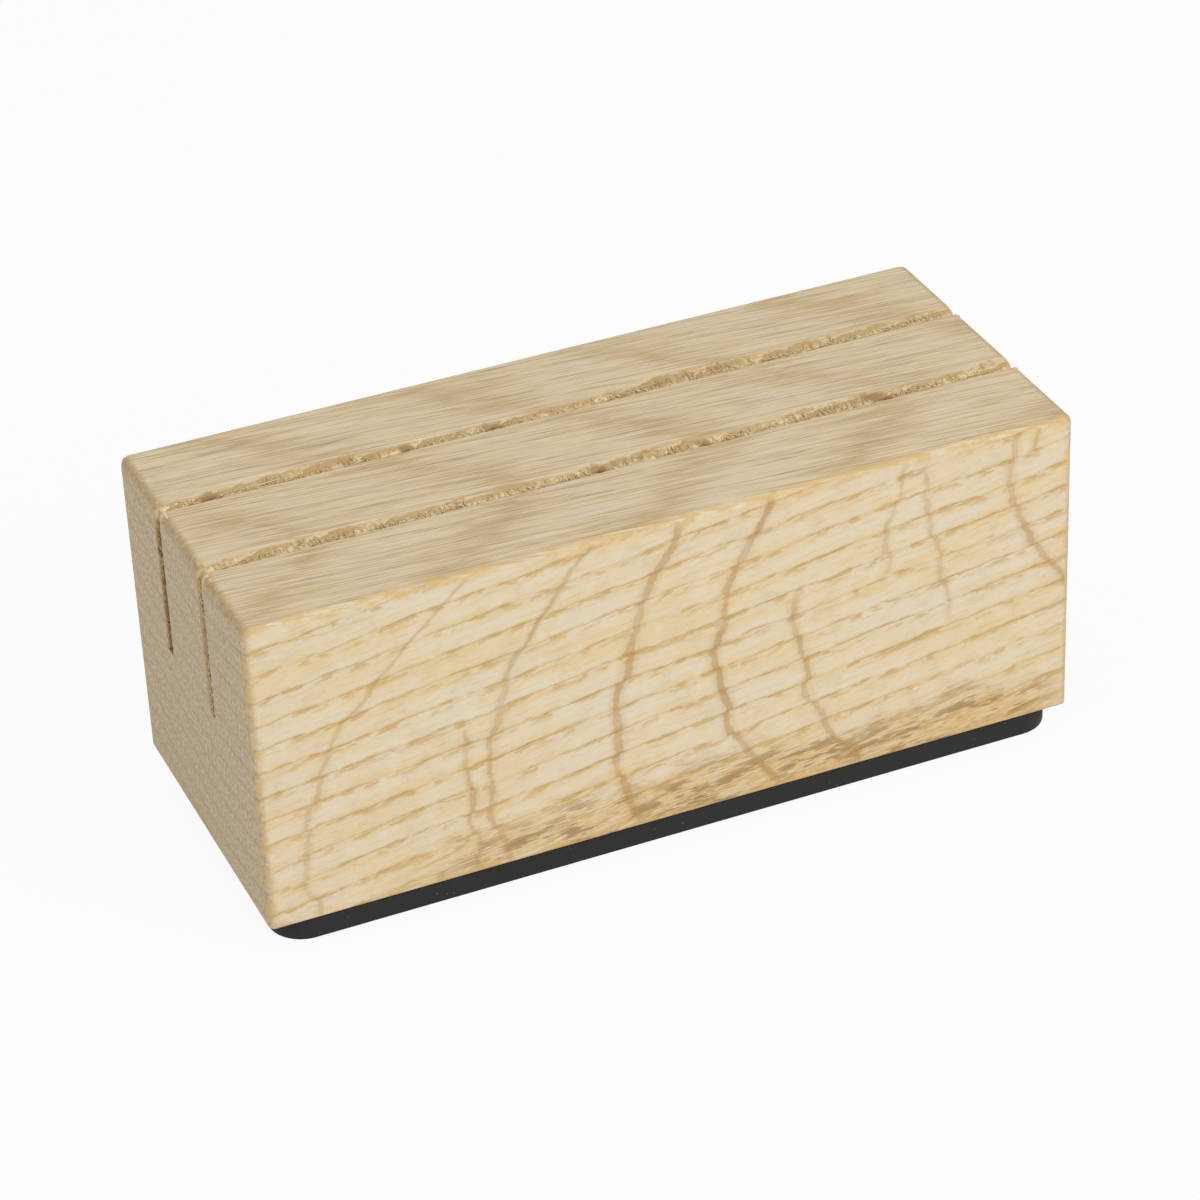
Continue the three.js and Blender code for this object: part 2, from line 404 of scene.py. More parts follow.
def oakMaterial(foot, size):
    material, tree, shader = newMaterial("paleOak")
    rings, sways, amounts, tints = (oakLook[part] for part in ("rings", "sways", "amounts", "tints"))
    place = placeInMillimetres(tree, foot)
    x, y, z = split(tree, place)
    length, width, height = size / mm

    plus = partial(calc, tree, "ADD")
    less = partial(calc, tree, "SUBTRACT")
    times = partial(calc, tree, "MULTIPLY")
    scaled = partial(calc, tree, "MULTIPLY_ADD")     # a value, its factor, what is added
    distance = partial(calc, tree, "ABSOLUTE")
    smaller = partial(calc, tree, "MINIMUM")
    larger = partial(calc, tree, "MAXIMUM")
    point = partial(joined, tree)
    paint = partial(blend, tree)                     # how much, what is under, what is over

    def centred(value):
        return less(value, 0.5)

    def noiseOf(name, vector=place):
        return cloud(tree, vector, *oakLook["clouds"][name])

    # limits count from `start`
    def step(name, value, start=0.0):
        low, high, *strengths = oakLook["steps"][name]
        return ease(tree, value, start + low, start + high, *strengths)

    wide = centred(noiseOf("wide"))
    fine = centred(noiseOf("fine"))

    # fibres
    sway = centred(noiseOf("sway"))
    rise = scaled(sway, sways["fibreRise"], scaled(x, -sways["fibreClimb"], z))
    drift = scaled(sway, sways["fibreDrift"], scaled(x, sways["fibreForward"], y))

    def drawnOut(numbers, sideways, upwards):
        along, across, up, *texture = numbers
        stretched = point(times(x, along), times(sideways, across), times(upwards, up))
        return cloud(tree, stretched, 1.0, *texture)

    def fibres(name):
        return drawnOut(oakLook["fibres"][name], drift, rise)

    def levelFibres(name):
        return drawnOut(oakLook["levelFibres"][name], drift, z)

    streak = fibres("streak")
    broad = fibres("broad")
    jagged = centred(fibres("jagged"))
    thread = levelFibres("thread")
    ragged = centred(levelFibres("ragged"))

    # growth rings: signed distance to the nearest ring line, as a share of the spacing
    across = plus(y, -rings["middle"])
    bow = calc(tree, "SQRT", scaled(across, across, rings["soft"] ** 2))
    frontBow = math.sqrt((-width / 2 - rings["middle"]) ** 2 + rings["soft"] ** 2)
    ring = scaled(x, -rings["rise"], z)
    ring = scaled(bow, -rings["bow"], ring)
    ring = plus(ring, rings["bow"] * frontBow - rings["start"])
    ring = scaled(wide, sways["ringWide"], ring)
    ring = scaled(fine, sways["ringFine"], ring)

    def toRing(moved, name, spacing=rings["spacing"]):
        counted = scaled(scaled(moved, sways[name], ring), 1 / spacing, oakLook["countFrom"] + 0.5)
        return centred(calc(tree, "FRACT", counted))

    near = toRing(jagged, "line")
    toLine = distance(near)
    between = toRing(ragged, "hairline", rings["spacing"] / rings["lines"])
    onTop = step("onTop", z, height)
    offTop = less(1.0, onTop)
    line = times(step("line", toLine), step("linePatch", fibres("patchy")))
    hairline = times(step("hairline", distance(between)), step("hairlinePatch", streak))
    band = times(step("band", distance(toRing(ragged, "band"))), step("bandPatch", broad))
    ringEdge = step("ringEdge", distance(toRing(ragged, "ringEdge")))
    beside = times(step("poresBelow", near), step("poresAbove", near))
    blotch = scaled(centred(streak), sways["blotch"], fibres("blotch"))
    blotch = times(step("blotch", blotch), beside)
    dashes = times(blotch, step("dash", fibres("dash")))

    # broad rays, which shift a little at each ring
    along = scaled(plus(y, width / 2), oakLook["rays"]["depth"], x)
    halfRepeat = oakLook["rays"]["repeat"] / 2
    along = calc(tree, "WRAP", along, halfRepeat, -halfRepeat)
    along = scaled(fine, sways["rayFine"], along)
    along = scaled(jagged, sways["rayJagged"], along)
    shift = addNode(tree, "ShaderNodeTexWhiteNoise", noise_dimensions="1D")
    counted = scaled(ring, 1 / rings["spacing"], oakLook["countFrom"])
    feed(tree, shift.inputs["W"], calc(tree, "FLOOR", counted))
    along = scaled(centred(shift.outputs["Value"]), sways["rayStep"], along)
    group = rayGroup()
    rays = 0.0
    for numbers in oakLook["rays"]["lines"]:
        made = addNode(tree, "ShaderNodeGroup", node_tree=group)
        feed(tree, made.inputs["along"], along)
        feed(tree, made.inputs["height"], z)
        for name, value in zip(rayNumbers, numbers):
            made.inputs[name].default_value = value
        rays = larger(made.outputs[0], rays)
    rays = times(rays, step("rayPatch", noiseOf("rayPatch")))
    crossing = times(rays, step("rayCrossing", toLine))      # darker where they cross a ring line
    rays = scaled(crossing, amounts["rayCrossing"], rays)

    # distance to the nearest edge: the middle one of the distances to the faces
    toEnd = less(length / 2, distance(x))
    toSide = less(width / 2, distance(y))
    under = less(height, z)
    toTop = smaller(z, under)
    least = smaller(smaller(toEnd, toSide), toTop)
    most = larger(larger(toEnd, toSide), toTop)
    toEdge = less(less(plus(plus(toEnd, toSide), toTop), least), most)
    toEdge = scaled(fine, sways["arris"], toEdge)
    flake = noiseOf("flake", point(times(x, sways["flakeAlong"]), y, z))
    arris = times(step("arris", toEdge), step("arrisFlake", flake))
    endFace = step("endFace", toEnd)
    endArris = times(step("endArris", toEnd), step("endArrisTop", scaled(fine, sways["endArris"], under)))

    # slots: torn wood about their lips, sawn walls below
    rearward = behindSlot(tree, y)
    toSlot = distance(rearward)
    inRear = step("inRear", y)
    deep = slots["depth"] / mm
    besideSlot = step("besideSlot", toSlot)
    tornWood = times(times(besideSlot, step("tornTop", under)), step("tornFoot", under))
    tornWood = times(tornWood, step("tornEnd", endFace))
    # slot walls, painted darker deeper down: painted shade
    walls = times(step("wall", toSlot, halfSlot), step("wallTop", under))
    walls = times(walls, step("wallFoot", under, deep))
    # painted shade about each slot's end on the end face, reaching further behind the slot
    mouth = scaled(jagged, sways["mouth"], distance(plus(rearward, -oakLook["mouthBack"])))
    slotMouthShade = times(endFace, step("mouth", mouth, halfSlot))
    slotMouthShade = times(slotMouthShade, step("mouthFoot", under, deep))
    notchHighlight = times(times(endFace, step("notchHighlight", toSlot)), step("notchHighlightFoot", under))
    # deep chips painted dark: painted shade
    deepChipShade = 0.0
    for row, middle, reach in knots:
        far = distance(plus(plus(x, rearward), -middle - oakLook["knotBack"]))
        mark = ease(tree, far, oakLook["knotCore"] * reach, reach, 1, 0)
        deepChipShade = larger(times(mark, step("knotRow", times(y, row))), deepChipShade)
    deepChipShade = times(times(deepChipShade, besideSlot), step("knotTop", under))

    # colour of the sawn faces
    def moreOnTop(name):
        return scaled(onTop, *amounts[name])

    parts = oakLook["toneParts"]
    tone = plus(times(broad, parts["broad"]), times(beside, parts["beside"]))
    honeyed = step("honey", plus(times(streak, parts["streak"]), tone))
    middleTone, evenness = oakLook["topTone"]
    honeyed = scaled(less(middleTone, honeyed), times(onTop, evenness), honeyed)     # evener on the top
    colour = paint(honeyed, tints["pale"], tints["honey"])
    colour = paint(times(band, moreOnTop("band")), colour, tints["smoke"])
    shade = step("shade", levelFibres("shade"))
    colour = paint(times(shade, times(onTop, amounts["shade"])), colour, tints["smoke"])
    colour = paint(times(ringEdge, times(onTop, amounts["ringEdge"])), colour, tints["smoke"])
    colour = paint(times(blotch, times(offTop, amounts["blotch"])), colour, tints["gold"])
    colour = paint(times(dashes, times(offTop, amounts["dash"])), colour, tints["line"])
    colour = paint(times(hairline, times(offTop, amounts["hairline"])), colour, tints["line"])
    colour = paint(times(line, times(offTop, amounts["line"])), colour, tints["line"])
    colour = paint(times(step("thread", thread), moreOnTop("thread")), colour, tints["thread"])
    hair = step("hair", levelFibres("hair"))
    colour = paint(times(hair, times(onTop, amounts["hair"])), colour, tints["thread"])
    colour = paint(times(step("silver", thread), moreOnTop("silver")), colour, tints["silver"])

    # stains along the foot of the front, in short level dabs
    lowDown = step("stainHeight", scaled(fine, sways["stainHeight"], z))
    lowDown = times(lowDown, times(step("stainLeft", x), step("stainRight", x)))
    lowDown = times(lowDown, step("stainFront", y, -width / 2))
    colour = paint(times(lowDown, step("stainGold", streak)), colour, tints["gold"])
    dabs = drawnOut(oakLook["dabs"], y, scaled(x, -sways["stainClimb"], z))
    clumps = scaled(centred(fibres("clump")), sways["clump"], dabs)
    colour = paint(times(times(lowDown, step("stain", clumps)), amounts["stain"]), colour, tints["stain"])
    colour = paint(times(rays, moreOnTop("ray")), colour, tints["ray"])

    # end grain and edges
    mottle = noiseOf("mottle")
    endColour = paint(step("endMottle", mottle), tints["endGrain"], tints["endDark"])
    endColour = paint(step("endRing", toLine), endColour, tints["endDark"])
    colour = paint(times(endFace, amounts["endFace"]), colour, endColour)
    colour = paint(arris, colour, tints["arris"])
    colour = paint(times(endArris, step("endArrisMottle", mottle)), colour, tints["endArris"])

    # torn lips: chips with a dark line at the front of each, a painted shadow, with painted shade fading
    # back from it; paler down in the slot than on the sloping lip: painted light below, painted shade on
    # the lip
    def moreInRear(name):
        return scaled(inRear, *oakLook["inSlots"][name])

    chips = oakLook["chips"]
    wave = calc(tree, "SINE", scaled(x, chips["waves"], y))
    chip = scaled(wave, chips["wave"], scaled(ragged, chips["ragged"], wide))
    chip = plus(scaled(x, 1 / chips["length"], oakLook["countFrom"]), chip)
    chip = calc(tree, "FRACT", scaled(rearward, -chips["slant"], chip))
    crumb = noiseOf("crumb", point(times(x, sways["crumbAlong"]), y, times(z, sways["crumbUp"])))
    outer = step("outerLip", rearward)
    # painted shade fading back from each chip's line, more on the outer lip
    mixed = scaled(less(0.5, chip), oakLook["chipShade"], crumb)
    mixed = scaled(outer, moreInRear("lip"), mixed)
    # painted light down in the slot, the torn colour on the outer lip
    tornWithPaintedLight = paint(outer, tints["paintedLight"], tints["tornLight"])
    tornWithPaintedLight = paint(step("tornMix", mixed), tornWithPaintedLight, tints["torn"])
    # painted shadow line at the front of each chip
    chipShadowLine = times(step("chipShadowLine", chip), step("chipCrumb", crumb))
    tornWithPaintedLight = paint(times(chipShadowLine, amounts["chipShadowLine"]), tornWithPaintedLight, tints["line"])
    # painted shade in gold on the slot's front wall
    frontWallShade = times(step("frontWallShade", rearward, -halfSlot), step("frontWallShadeTop", under))
    tornWithPaintedLight = paint(frontWallShade, tornWithPaintedLight, tints["gold"])
    colour = paint(tornWood, colour, tornWithPaintedLight)

    # slot walls and their ends: painted shade deeper down the walls, painted light on them near the block's
    # ends
    nearEnd = step("nearEnd", toEnd)
    # painted light on the walls near the ends, painted shade deeper in
    paintedWallLight = times(nearEnd, larger(step("wallMottle", mottle), moreInRear("paintedWallLight")))
    wallLightAndShade = paint(paintedWallLight, tints["kerf"], tints["tornLight"])
    colour = paint(times(walls, amounts["wall"]), colour, wallLightAndShade)
    # painted shade about each slot's end, darkest at the rear slot
    mouthShadeColour = paint(times(inRear, oakLook["rearMouth"]), tints["kerf"], tints["gapShade"])
    colour = paint(times(slotMouthShade, step("mouthMottle", mottle)), colour, mouthShadeColour)
    # dark specks on the walls and slot ends near the block's ends: painted shade of small hollows
    specks = times(times(nearEnd, step("speck", noiseOf("speck"))), moreInRear("speck"))
    specks = times(larger(times(walls, amounts["wallShadeSpecks"]), slotMouthShade), specks)
    colour = paint(specks, colour, tints["hollowShade"])
    # a pale notch at the top of each slot's end: painted highlight
    colour = paint(times(notchHighlight, amounts["notchHighlight"]), colour, tints["tornLight"])
    # painted shade in the deep chips
    colour = paint(times(deepChipShade, amounts["knotShade"]), colour, tints["gapShade"])
    feed(tree, shader.inputs["Base Color"], colour)

    # sheen and relief
    feed(tree, shader.inputs["Roughness"], step("roughness", streak))
    shader.inputs["Specular IOR Level"].default_value = oakLook["specular"]
    relief = oakLook["relief"]
    bumps = scaled(plus(blotch, line), relief["pores"], times(thread, relief["thread"]))
    bumps = plus(bumps, times(times(mottle, endFace), relief["endGrain"]))
    addRelief(tree, shader, bumps, relief["strength"], relief["depth"])
    return material


# block: one section with two kerfs, run along the length, each edge sanded by its own radius

sanding = {
    "upright": 1.1, "endTop": 1.4, "sideTop": 0.9, "foot": 0.5, "lip": 0.3,
    "widest": 1.4, "steps": 5,
}
torn = {
    "cuts": 640,
    "rows": (0.45, 0.65, 0.9, 1.2, 1.6, 2.1, 3.0),          # beside the slots
    "levels": (0.5, 0.75, 1.0, 1.3, 1.7, 2.2, 3.0, 4.0),    # down their walls
    "lipBand": 0.4,
    "rear": 2.0, "front": 0.14,  # how far the rear and front lips are torn back
    "usual": 0.62, "least": 0.40, "atKnot": 0.15,           # as shares of that
    "seats": (3.7, 1.6),         # how far apart the slots and their lips lie in the noise
    # noise along the lip: pace, strength, depth
    "slow": (0.07, 0.7, 1.7), "quick": (0.33, 0.5, 5.2), "grit": (1.6, 0.22, 9.4),
    "slope": 0.30, "curve": 1.2,
    "reach": 3.1, "fade": 4.0,   # how wide and how deep the tearing goes
    "grain": 0.07, "grainNoise": (0.7, 5), "grainStart": 0.02, "grainGrowth": 3,
    "lump": 0.30, "lumpNoise": (1.3, 0.7), "lumpUsual": 0.25,
    "wallReach": 0.2,
    "swell": 1.05,               # how far the rear wall swells into the slot below its lip
    "swellUsual": 0.65, "swellLong": (0.21, 0.5, 2.8), "swellShort": (1.1, 0.6, 0.22),
    "swellStart": 0.1, "swellGrowth": 0.5, "swellMost": 1.05, "swellEnd": 2,
    "rearMouth": 1.7, "frontMouth": 0.8,     # rounding where a slot meets an end
    "mouthFade": 2.6, "mouthReach": 3,
}


def blockSection():
    half = slots["width"] / 2
    floor = blockHigh.z - slots["depth"]
    points = [(blockLow.y, blockLow.z), (blockHigh.y, blockLow.z), (blockHigh.y, blockHigh.z)]
    for middle in (slots["middle"], -slots["middle"]):
        points += [(middle + half, blockHigh.z), (middle + half, floor)]
        points += [(middle - half, floor), (middle - half, blockHigh.z)]
    return points + [(blockLow.y, blockHigh.z)]


def edgeRadius(edge):
    a, b = (v.co for v in edge.verts)
    run = b - a
    near = 0.1 * mm
    atTop = min(a.z, b.z) > blockHigh.z - near
    atFoot = max(a.z, b.z) < blockLow.z + near
    atSide = min(abs(a.y), abs(b.y)) > blockHigh.y - near
    if abs(run.x) > mm:
        if atTop:
            return sanding["sideTop"] if atSide else sanding["lip"]
        return sanding["foot"] if atFoot else 0
    if abs(run.z) > mm:
        return sanding["upright"] if atSide else sanding["lip"]
    return sanding["endTop"] if atTop else sanding["foot"] if atFoot else 0


def sandedBlock():
    bm = bmesh.new()
    outline = [bm.verts.new((blockLow.x, y, z)) for y, z in blockSection()]
    face = bm.faces.new(outline)
    grown = bmesh.ops.extrude_face_region(bm, geom=[face])["geom"]
    moved = [g for g in grown if isinstance(g, bmesh.types.BMVert)]
    bmesh.ops.translate(bm, verts=moved, vec=(blockSize.x, 0, 0))
    bmesh.ops.recalc_face_normals(bm, faces=bm.faces)
    weight = bm.edges.layers.float.new("bevel_weight_edge")
    for edge in bm.edges:
        edge[weight] = edgeRadius(edge) / sanding["widest"]
    rough = addObject("sanding", meshFrom("sanding", bm))
    bevel = rough.modifiers.new("sanding", "BEVEL")
    bevel.limit_method = "WEIGHT"
    bevel.width = sanding["widest"] * mm
    bevel.segments = sanding["steps"]
    bevel.profile = 0.5
    sanded = bmesh.new()
    sanded.from_object(rough, bpy.context.evaluated_depsgraph_get())
    bpy.data.objects.remove(rough)
    return sanded


# rows of points beside the lips and down the walls, and many cuts along the block
def addRows(bm):
    half = slots["width"] / 2
    for middle in (slots["middle"], -slots["middle"]):
        for aside in torn["rows"]:
            for side in (-1, 1):
                y = middle + side * (half + aside * mm)
                bmesh.ops.bisect_plane(bm, geom=bm.verts[:] + bm.edges[:] + bm.faces[:],
                                       plane_co=(0, y, 0), plane_no=(0, 1, 0))
    reach = half + torn["lipBand"] * mm
    for under in torn["levels"]:
        inner = [f for f in bm.faces if abs(abs(f.calc_center_median().y) - slots["middle"]) < reach]
        geom = dict.fromkeys(inner)          # a dictionary keeps them in order
        for f in inner:
            geom.update(dict.fromkeys(f.edges))
            geom.update(dict.fromkeys(f.verts))
        bmesh.ops.bisect_plane(bm, geom=list(geom),
                               plane_co=(0, 0, blockHigh.z - under * mm), plane_no=(0, 0, 1))
    nearlyWhole = 0.9 * blockSize.x
    lengthwise = [e for e in bm.edges if e.calc_length() > nearlyWhole]
    bmesh.ops.subdivide_edges(bm, edges=lengthwise, cuts=torn["cuts"], use_grid_fill=False)


def buildBlock():
    bm = sandedBlock()
    addRows(bm)
    tearLips(bm)
    bmesh.ops.recalc_face_normals(bm, faces=bm.faces)
    print("block:", len(bm.faces), "faces")
    return bm


# where a lip's own noise lies, so that no two lips are alike; side is 1 for a slot's rear lip
def seatOf(row, side):
    apart, aside = torn["seats"]
    return row * apart + side * aside


# how far a lip is torn back at x, in millimetres
def tearAt(x, row, side):
    seat = seatOf(row, side)
    share = torn["usual"]
    for name in ("slow", "quick", "grit"):
        close, much, depth = torn[name]
        share += much * noise.noise((x * close, seat, depth))
    share = max(torn["least"], share)
    for knotRow, middle, reach in knots:
        if knotRow == row:
            share += torn["atKnot"] * max(0.0, 1 - abs(x - middle) / reach)
    return share * (torn["rear"] if side > 0 else torn["front"])


# 0 in a deep chip, 1 away from all of them
def chipFree(x, row):
    return min([1.0] + [abs(x - middle) / reach for knotRow, middle, reach in knots if knotRow == row])


def tearDrop(back, beyond):
    return torn["slope"] * back * max(0.0, 1 - max(beyond, 0.0) / back) ** torn["curve"]


# how far a wall stands out into the slot, in millimetres
def lumpAt(x, under, row, side, fade):
    seat = seatOf(row, side)
    if side < 0:
        close, down = torn["lumpNoise"]
        lump = torn["lumpUsual"] + noise.noise((x * close, under * down, seat))
        return torn["lump"] * max(0.0, lump) * fade
    close, much, depth = torn["swellLong"]
    swell = torn["swellUsual"] + much * noise.noise((x * close, seat, depth))
    close, down, much = torn["swellShort"]
    swell = swell + much * noise.noise((x * close, under * down, seat))
    start = min(1.0, max(0.0, under - torn["swellStart"]) / torn["swellGrowth"])
    swell *= start * math.sqrt(fade) * chipFree(x, row)
    atEnd = min(1.0, (blockHigh.x / mm - abs(x)) / torn["swellEnd"])
    return torn["swell"] * min(torn["swellMost"], max(0.0, swell)) * atEnd


# how far a lip is rounded back near the block's ends, in millimetres
def mouthPush(x, under, beyond, side):
    mouth = torn["rearMouth"] if side > 0 else torn["frontMouth"]
    inside = max(0.0, mouth - (blockHigh.x / mm - abs(x)))
    push = mouth - math.sqrt(max(0.0, mouth ** 2 - inside ** 2))
    shallow = max(0.0, 1 - under / torn["mouthFade"])
    return push * (shallow * max(0.0, 1 - max(beyond, 0.0) / torn["mouthReach"]))


# saw-torn lips: chipped down in bays of uneven width, lumpy below, rounded at the ends
def tearLips(bm):
    for v in bm.verts:
        x, y = v.co.x / mm, v.co.y / mm
        under = (blockHigh.z - v.co.z) / mm
        row = 1 if y > 0 else -1
        offset = y - row * slots["middle"] / mm
        side = 1 if offset > 0 else -1
        beyond = offset * side - halfSlot
        if beyond > torn["reach"] or under > torn["fade"]:
            continue
        fade = max(0.0, 1 - under / torn["fade"])
        drop = tearDrop(tearAt(x, row, side), beyond) * fade
        if drop > torn["grainStart"]:
            close, aside = torn["grainNoise"]
            grain = torn["grain"] * noise.noise((x * close, y * aside, seatOf(row, side)))
            drop += grain * min(1.0, drop * torn["grainGrowth"])
        lump = lumpAt(x, under, row, side, fade) if beyond < torn["wallReach"] else 0.0
        v.co.z -= max(0.0, drop) * mm
        v.co.y += side * (mouthPush(x, under, beyond, side) - lump) * mm


newPiece("oakBlock", buildBlock(), oakMaterial(blockLow.z, blockSize), "oak_block")
print("oak block done")


# fibres that the saw tore up along the rear lips and left in the slots

strandLook = {
    "seed": 41, "batch": 60,
    "taper": 0.4,
    "endGap": 1.8,               # none of the lip's strands comes nearer to the block's ends
    "underTop": 0.12,
    "knotGap": 0.7,
    "openNoise": (0.13, 5.0, 3.3), "openBelow": -0.42,      # stretches where the slot stays open
    "hair": {
        "count": 1100, "thickness": (0.025, 0.060), "sunk": (0.02, 0.5),
        "start": (-0.1, 0.9), "reach": (0.4, 1.5), "along": (-0.4, 0.5), "fall": (-0.55, 0.1),
        "lying": 0.35, "lyingAlong": (0.8, 2.6), "lyingAcross": 0.3, "lyingFall": (-0.2, 0.1),
    },
    "mat": {                     # bits that lie across the mouth
        "count": 420, "thickness": (0.05, 0.11), "sunk": (0.12, 0.2),
        "start": (0.5, 0.9), "along": (0.3, 0.7), "past": (0.5, 1.4), "endDepth": (0.25, 0.6),
    },
    "splinter": {
        "count": 70, "thickness": (0.06, 0.13), "sunk": (0.02, 0.5),
        "start": (-0.5, 0.4), "length": (2.0, 9.0), "lean": (0.0, 0.2), "rise": (-0.1, 0.3),
    },
    "mouth": {                   # at each end of the front and the rear slot
        "count": {-1: 420, 1: 55}, "inset": {-1: 0.25, 1: 0.70}, "leastInset": 0.06,
        "top": 1.5, "floorGap": 0.3, "root": 0.1,
        "along": 0.06, "across": (0.2, 1.2), "up": 0.7,
    },
    "crumb": (1.3, 3, 0.6), "patch": (0.12, 2), "sheen": (2.0, 2),
    "steps": {
        "crumb": (0.42, 0.75), "patch": (0.45, 0.65, 0.0, 0.6), "atLip": (-2.5, -1.2),
        # painted light down in the slot, painted shade on the lip
        "inSlot": (0.2, 1.1, 0.75, 0.0), "shadeOnLip": (0.5, 1.3, 0.0, 0.40), "sheen": (0.3, 0.7, 0.65, 0.8),
    },
    # painted light on strands deep below the lip
    "lightBelowLip": 0.7,
    "specular": 0.25,
}


# no strand reaches out of the block's own box
def keptInside(point, thickness):
    reach = blockHigh.x / mm - thickness
    return Vector((max(-reach, min(reach, point.x)), point.y, min(point.z, blockHigh.z / mm - thickness)))


def addStrand(bm, start, finish, thickness):
    run = finish - start
    turn = run.to_track_quat("Z", "Y").to_matrix().to_4x4()
    bmesh.ops.create_cone(bm, cap_ends=True, segments=3,
                          radius1=thickness, radius2=strandLook["taper"] * thickness,
                          depth=run.length, matrix=Matrix.Translation((start + finish) / 2) @ turn)


# small batches, because each operator goes over its whole mesh
def strandMesh(strands):
    whole = bmesh.new()
    batch = strandLook["batch"]
    for first in range(0, len(strands), batch):
        bm = bmesh.new()
        for start, finish, thickness in strands[first:first + batch]:
            start, finish = keptInside(start, thickness), keptInside(finish, thickness)
            addStrand(bm, start * mm, finish * mm, thickness * mm)
        mesh = meshFrom("batch", bm)
        whole.from_mesh(mesh)
        bpy.data.meshes.remove(mesh)
    bmesh.ops.recalc_face_normals(whole, faces=whole.faces)
    print("strands:", len(strands))
    return whole


# each kind of strand: how far behind the wall it starts, and which way it runs
def hairRun(draw, look, back):
    beyond = draw.uniform(*look["start"]) * back
    reach = draw.uniform(*look["reach"])
    run = Vector((draw.gauss(*look["along"]), -reach, draw.uniform(*look["fall"]) * reach))
    if draw.random() < look["lying"]:        # some lie along the lip
        run = Vector((draw.uniform(*look["lyingAlong"]), -look["lyingAcross"] * reach,
                      draw.uniform(*look["lyingFall"])))
    return beyond, run


def matRun(draw, look, back):
    beyond = draw.uniform(*look["start"]) * back
    return beyond, Vector((draw.gauss(*look["along"]), -beyond - draw.uniform(*look["past"]), 0))


def splinterRun(draw, look, back):
    beyond = draw.uniform(*look["start"])
    reach = draw.uniform(*look["length"])
    return beyond, Vector((reach, draw.uniform(*look["lean"]) * reach, draw.uniform(*look["rise"])))


# a strand keeps off the deep chips and crosses none
def clearOfKnots(row, startX, finishX):
    for knotRow, middle, reach in knots:
        if knotRow != row:
            continue
        apart = min(abs(startX - middle), abs(finishX - middle))
        if apart <= strandLook["knotGap"] * reach or (startX < middle) != (finishX < middle):
            return False
    return True


def lipStrands(draw, row, kind, findRun):
    look = strandLook[kind]
    strands = []
    middle = row * slots["middle"] / mm
    ends = blockHigh.x / mm - strandLook["endGap"]
    top = blockHigh.z / mm
    close, apart, depth = strandLook["openNoise"]
    for _ in range(look["count"]):
        x = draw.uniform(-ends, ends)
        back = tearAt(x, row, 1)
        beyond, run = findRun(draw, look, back)
        thickness = draw.uniform(*look["thickness"])
        sunk = draw.uniform(*look["sunk"])
        start = Vector((x, middle + halfSlot + beyond, top - tearDrop(back, beyond) - sunk))
        finish = start + run
        if kind == "mat":
            finish.z = top - draw.uniform(*look["endDepth"])
        else:
            finish.z = min(finish.z, top - strandLook["underTop"])
        bare = noise.noise((x * close, row * apart, depth)) < strandLook["openBelow"]
        if clearOfKnots(row, x, finish.x) and abs(finish.x) < ends and not (bare and kind == "mat"):
            strands.append((start, finish, thickness))
    return strands


def mouthStrands(draw, row):
    look = strandLook["mouth"]
    strands = []
    middle = row * slots["middle"] / mm
    for end in (-1, 1):
        for _ in range(look["count"][row]):
            depth = draw.uniform(look["top"], slots["depth"] / mm - look["floorGap"])
            inset = draw.uniform(look["leastInset"], look["inset"][row])
            side = draw.choice((-1, 1))
            start = Vector((end * (blockHigh.x / mm - inset), middle + side * (halfSlot + look["root"]),
                            blockHigh.z / mm - depth))
            finish = start + Vector((draw.gauss(0, look["along"]), -side * draw.uniform(*look["across"]),
                                     draw.gauss(0, look["up"])))
            strands.append((start, finish, draw.uniform(*strandLook["mat"]["thickness"])))
    return strands


def buildStrands():
    draw = random.Random(strandLook["seed"])
    strands = []
    for row in (-1, 1):
        for kind, findRun in (("hair", hairRun), ("mat", matRun), ("splinter", splinterRun)):
            strands += lipStrands(draw, row, kind, findRun)
        strands += mouthStrands(draw, row)
    return strandMesh(strands)


def strandMaterial():
    material, tree, shader = newMaterial("tornFibre")
    tints = oakLook["tints"]
    place = placeInMillimetres(tree)
    y, z = split(tree, place)[1:]
    rearward = behindSlot(tree, y)

    def noiseOf(name):
        return cloud(tree, place, *strandLook[name])

    def step(name, value, start=0.0):
        low, high, *strengths = strandLook["steps"][name]
        return ease(tree, value, start + low, start + high, *strengths)

    colour = blend(tree, step("crumb", noiseOf("crumb")), tints["tornLight"], tints["torn"])
    colour = blend(tree, step("patch", noiseOf("patch")), colour, tints["pale"])
    # paler down in the slot and deep below the lip, darker on the lip: painted light and painted shade
    atLip = step("atLip", z, blockHigh.z / mm)
    paintedLight = calc(tree, "MULTIPLY", atLip, step("inSlot", rearward))
    colour = blend(tree, paintedLight, colour, tints["paintedLight"])
    colour = blend(tree, step("shadeOnLip", rearward), colour, tints["torn"])
    below = calc(tree, "MULTIPLY_ADD", atLip, -strandLook["lightBelowLip"], strandLook["lightBelowLip"])
    colour = blend(tree, below, colour, tints["tornLight"])
    feed(tree, shader.inputs["Base Color"], colour)
    feed(tree, shader.inputs["Roughness"], step("sheen", noiseOf("sheen")))
    shader.inputs["Specular IOR Level"].default_value = strandLook["specular"]
    return material


newPiece("slotFibres", buildStrands(), strandMaterial())
print("fibres done")


# pad: a plate with rounded corners and slightly eased rims

